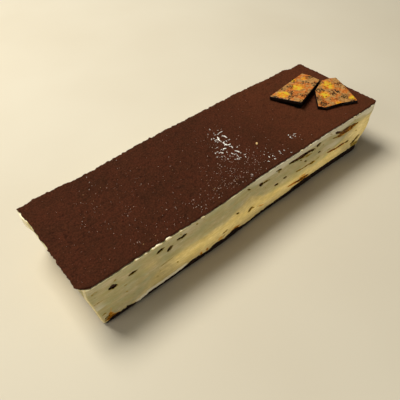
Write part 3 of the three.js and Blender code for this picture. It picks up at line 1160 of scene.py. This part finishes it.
def cream_material():
    """Mascarpone cream, smeared thin over the sponge so that syrup and crumb show through in streaks."""
    material, tree, shader = new_material("mascarpone_cream", specular_ior_level=0.07)
    shade = read_mask(tree, "shade")
    soft = mottle(tree, 20, 9, 3, 4)
    green = mottle(tree, 13, 6, 12, 5)
    smear = mottle(tree, 30, 1.8, 7, 5)
    fine = mottle(tree, 5, 0.8, 2, 5)
    blotch = mottle(tree, 6, 5, 23, 5)
    smeared = two_toned(tree, soft, (234, 217, 180), (198, 189, 134))
    smeared = coated(tree, smeared, (weaker(tree, green, 0.75), (176, 184, 142)))
    yellow = two_toned(tree, soft, (248, 228, 168), (238, 214, 142))
    milky = maths(tree, "MULTIPLY", stepped(tree, shade, -1, 0, 1, 0), stepped(tree, smear, 0, 1, 0.95, 0.7))
    vanilla = use_group(tree, SPECKS, Spacing=4.2, Size=0.075, Share=0.28, Shift=1)
    broken_up = stepped(tree, mottle(tree, 2.6, 0.9, 5, 4), 0, 1, -0.12, 0.1)
    rust = maths(tree, "ADD", read_mask(tree, "rust"), broken_up)
    stain_and_gap_shade = maths(tree, "ADD", read_mask(tree, "streak"), broken_up)
    colour = coated(
        # yellow where the shade mask reaches 1, low down a painted warm reflection
        tree, mixed(tree, stepped(tree, shade, 0, 1), smeared, yellow),
        (weaker(tree, smear, 0.36), (200, 178, 116)),
        (weaker(tree, fine, 0.4), (170, 148, 92)),
        (weaker(tree, blotch, 0.4), (186, 166, 112)),
        (milky, (230, 221, 194)),
        # whiter towards shade 2, the painted highlights
        (stepped(tree, shade, 1, 2), (251, 238, 204)),
        (weaker(tree, vanilla, 0.55), (96, 70, 36)),
        (stepped(tree, rust, 0.15, 0.5), (216, 168, 84)),
        (stepped(tree, rust, 0.48, 0.7), (174, 112, 14)),
        (stepped(tree, rust, 0.7, 0.88), (88, 50, 6)),
        (stepped(tree, stain_and_gap_shade, 0.22, 0.46), (170, 144, 60)),
        (stepped(tree, stain_and_gap_shade, 0.42, 0.58), (132, 101, 14)),
        (stepped(tree, stain_and_gap_shade, 0.55, 0.7), (70, 48, 3)),
        # the darkest step paints the shade of a dark gap
        (stepped(tree, stain_and_gap_shade, 0.69, 0.84), (14, 8, 1)),
    )
    roughness = stepped(tree, smear, 0, 1, 0.46, 0.6)
    smears = use_group(tree, GRAIN, Across=9, Up=0.55, Sharp=0.6)
    finish_surface(tree, shader, colour, roughness, smears, 0.4, 0.8)
    return material


def sponge_material(name, light, dark, pore, wetness):
    """Sponge soaked in coffee: crumb that shows between darker pores, its pits painted darker as painted
    shade.
    """
    material, tree, shader = new_material(name, specular_ior_level=wetness)
    patches = mottle(tree, 7, 4, 4)
    crumb = weaker(tree, mottle(tree, 1.1, 0.8, 9, 5), 0.5)
    pit = stepped(tree, read_mask(tree, "pit"), 0.1, 0.7)
    # Pits take the pore tone as painted shade.
    colour = coated(tree, two_toned(tree, patches, light, dark), (crumb, pore), (pit, pore))
    roughness = stepped(tree, patches, 0, 1, 0.86 - wetness * 0.3, 0.95 - wetness * 0.3)
    relief = use_group(tree, GRAIN, Across=0.9, Up=0.7, Sharp=0.7)
    finish_surface(tree, shader, colour, roughness, relief, 0.5)
    return material


def cocoa_material():
    """Sifted cocoa powder, dull and fine, with a little of the lighter dust, painted light towards the right
    end, and painted shade in its hollows and under the plaques.
    """
    material, tree, shader = new_material("sifted_cocoa", specular_ior_level=0.08)
    powder = mottle(tree, 1.6, 1.6, 2, 6)
    dust = use_group(tree, SPECKS, Spacing=2.1, Size=0.1, Share=0.26, Shift=3)
    colour = coated(
        tree, two_toned(tree, mottle(tree, 46, 46, 1), (82, 43, 26), (70, 38, 22)),
        (weaker(tree, mottle(tree, 10, 10, 6, 4), 0.5), (90, 43, 27)),
        (weaker(tree, mottle(tree, 4, 4, 14, 4), 0.35), (54, 27, 16)),
        (weaker(tree, powder, 0.66), (44, 23, 13)),
        # painted light, lighter towards the right end
        (stepped(tree, read_mask(tree, "painted_light_towards_right"), 0, 1, 0, 0.17), (128, 68, 38)),
        # painted shade in the hollows
        (stepped(tree, read_mask(tree, "pit"), 0.1, 0.9, 0, 0.22), (26, 12, 7)),
        (weaker(tree, dust, 0.4), (150, 104, 84)),
        # painted shadow under the plaques
        (read_mask(tree, "painted_plaque_shade"), (14, 7, 4)),
    )
    roughness = stepped(tree, powder, 0, 1, 0.9, 1.0)
    grain = use_group(tree, GRAIN, Across=1.5, Up=1.5, Sharp=0.75)
    finish_surface(tree, shader, colour, roughness, grain, 1.1)
    return material


def plaque_material():
    """Dark chocolate with a marbled print in coloured cocoa butter on top."""
    material, tree, shader = new_material("printed_chocolate", specular_ior_level=0.16)
    chocolate = two_toned(tree, mottle(tree, 6, 3, 2), (16, 7, 4), (26, 12, 7))
    orange = stepped(tree, mottle(tree, 8, 8, 11, 6), 0.4, 0.75)
    yellow = stepped(tree, mottle(tree, 3.5, 3.5, 31, 6), 0.4, 0.65)
    mealy = mottle(tree, 2.2, 2.2, 61, 5)
    flocks = mottle(tree, 10, 10, 44)
    flecks = mottle(tree, 1.5, 1.5, 52, 5)
    spot = read_mask(tree, "colour_spot")
    crowd = maths(tree, "MAXIMUM", read_mask(tree, "fleck_spot"), stepped(tree, flocks, 0.4, 0.9, 0, 0.72))
    marbled = coated(
        tree, two_toned(tree, orange, (168, 122, 68), (186, 103, 38)),
        (stepped(tree, spot, 0.28, 0.5), (212, 126, 20)),
        (stepped(tree, mealy, 0.55, 0.9, 0, 0.4), (212, 156, 100)),
        (stepped(tree, mealy, 0.1, 0.45, 0.45, 0), (120, 70, 28)),
        (maths(tree, "MULTIPLY", stepped(tree, spot, 0.32, 0.55), yellow), (206, 170, 46)),
        (stepped(tree, maths(tree, "MULTIPLY", crowd, flecks), 0.28, 0.4, 0, 0.95), (30, 22, 10)),
    )
    colour = mixed(tree, stepped(tree, read_mask(tree, "printed"), 0.4, 0.6), chocolate, marbled)
    roughness = stepped(tree, flocks, 0, 1, 0.42, 0.6)
    relief = use_group(tree, GRAIN, Across=1.6, Up=1.6, Sharp=0.5)
    finish_surface(tree, shader, colour, roughness, relief, 0.12)
    return material


def sugar_material(name, light, shaded):
    """Dry crystals or crumbs, with a faint sparkle."""
    material, tree, shader = new_material(name, specular_ior_level=0.5)
    patches = mottle(tree, 1.2, 1.2, 5)
    colour = two_toned(tree, patches, light, shaded)
    roughness = stepped(tree, patches, 0, 1, 0.35, 0.6)
    relief = use_group(tree, GRAIN, Across=0.4, Up=0.4, Sharp=0.6)
    finish_surface(tree, shader, colour, roughness, relief, 0.1)
    return material


# ---------- Putting the bar together ----------


def build_bar():
    cream = cream_material()
    lower_seam, upper_seam = (seam_height(middle) for middle in SPONGE_MIDDLES)
    cream_layer("cream_lower", hem_height, lower_seam, cream)
    cream_layer("cream_middle", lower_seam, upper_seam, cream)
    cream_layer("cream_upper", upper_seam, top_edge, cream)

    sponge = sponge_material("sponge_crumb", (112, 60, 30), (66, 36, 18), (30, 15, 8), 0.3)
    sponge_layer("sponge_lower", sponge, "sponge", upper_sponge_inset, 1.9)
    sponge_layer("sponge_upper", sponge, "sponge", upper_sponge_inset, 1.9)
    soaked = sponge_material("soaked_crumb", (42, 19, 7), (28, 12, 4), (13, 6, 2), 0.2)
    sponge_layer("sponge_base", soaked, "soaked_sponge", soaked_sponge_inset, 2.4)

    cocoa = cocoa_material()
    cocoa_layer(cocoa)
    cocoa_clods(cocoa)
    printed = plaque_material()
    for node, corners, tip_x, tip_y in PLAQUES:
        chocolate_plaque(node, corners, tip_x, tip_y, printed)

    sugar_flakes(sugar_material("sugar", (255, 255, 255), (250, 243, 236)))
    sugar_grains(sugar_material("dusty_sugar", (250, 228, 216), (196, 156, 138)))
    pale_crumbs(sugar_material("crust_crumb", (214, 178, 120), (176, 132, 78)))


# ---------- Floor, lights and camera ----------

CAMERA_PLACE = Vector((-205.84, -217.45, 302.27)) * MM
CAMERA_AIM = Vector((-28.74, -3.06, 4.7)) * MM
CAMERA_UP = Vector((0.4879, 0.5442, 0.6825))


def make_floor():
    bm = bmesh.new()
    bmesh.ops.create_grid(bm, x_segments=1, y_segments=1, size=4)
    floor = bpy.data.objects.new("floor", mesh_from(bm, "floor"))
    bpy.context.scene.collection.objects.link(floor)
    material, tree, shader = new_material("pale_floor", specular_ior_level=0.2, roughness=0.8)
    colour = two_toned(tree, mottle(tree, 300, 300, 0), (212, 202, 186), (207, 196, 179))
    tree.links.new(colour, shader.inputs["Base Color"])
    floor.data.materials.append(material)


def make_light(name, place, target, width, height, power, colour, spread=180, turn=0):
    lamp = bpy.data.lights.new(name, "AREA")
    lamp.shape = "RECTANGLE"
    lamp.size = width
    lamp.size_y = height
    lamp.energy = power
    lamp.color = colour
    lamp.spread = math.radians(spread)
    light = bpy.data.objects.new(name, lamp)
    light.location = place
    light.rotation_euler = (Vector(target) - Vector(place)).to_track_quat("-Z", "Y").to_euler()
    light.rotation_euler.rotate_axis("Z", math.radians(turn))
    light.visible_camera = False
    bpy.context.scene.collection.objects.link(light)


def make_low_light(name, x, z, distance, *settings):
    """A light that stands low in front of the near side and shines straight at it."""
    make_light(name, (x, -distance, z), (x, 0, z), *settings)


def make_studio():
    """A soft light above and behind, a weaker one on the left, a dim room, and light thrown back from
    low down in front, with a warm glow in it."""
    daylight = (1, 0.99, 0.875)
    make_light("window", (-0.25, 0.75, 1.45), (0, 0, 0), 0.8, 0.7, 32, daylight)
    make_light("left", (-1.5, 0.2, 0.85), (0, 0, 0), 0.9, 0.7, 6, daylight)
    make_low_light("table", 0.02, 0.03, 0.9, 1, 0.05, 0.125, (1, 0.97, 0.9), 30)
    make_low_light("glow", 0.014, 0.0185, 0.26, 0.23, 0.016, 0.0042, (1, 0.84, 0.46), 7, -1)
    make_low_light("end_glow", 0.158, 0.031, 0.26, 0.034, 0.024, 0.0009, (1, 0.9, 0.66), 9)
    world = bpy.data.worlds.new("room")
    world.use_nodes = True
    sky = world.node_tree.nodes["Background"]
    sky.inputs["Color"].default_value = (*daylight, 1)
    sky.inputs["Strength"].default_value = 0.11
    bpy.context.scene.world = world
    bpy.context.scene.view_settings.view_transform = "Standard"


def make_camera():
    lens = bpy.data.cameras.new("camera")
    lens.sensor_width = 36
    lens.lens = 36
    lens.clip_start = 0.01
    camera = bpy.data.objects.new("camera", lens)
    forward = (CAMERA_AIM - CAMERA_PLACE).normalized()
    right = forward.cross(CAMERA_UP).normalized()
    upward = right.cross(forward)
    turn = Matrix((right, upward, -forward)).transposed()
    camera.matrix_world = Matrix.Translation(CAMERA_PLACE) @ turn.to_4x4()
    bpy.context.scene.collection.objects.link(camera)
    bpy.context.scene.camera = camera


make_camera()
build_bar()
make_floor()
make_studio()
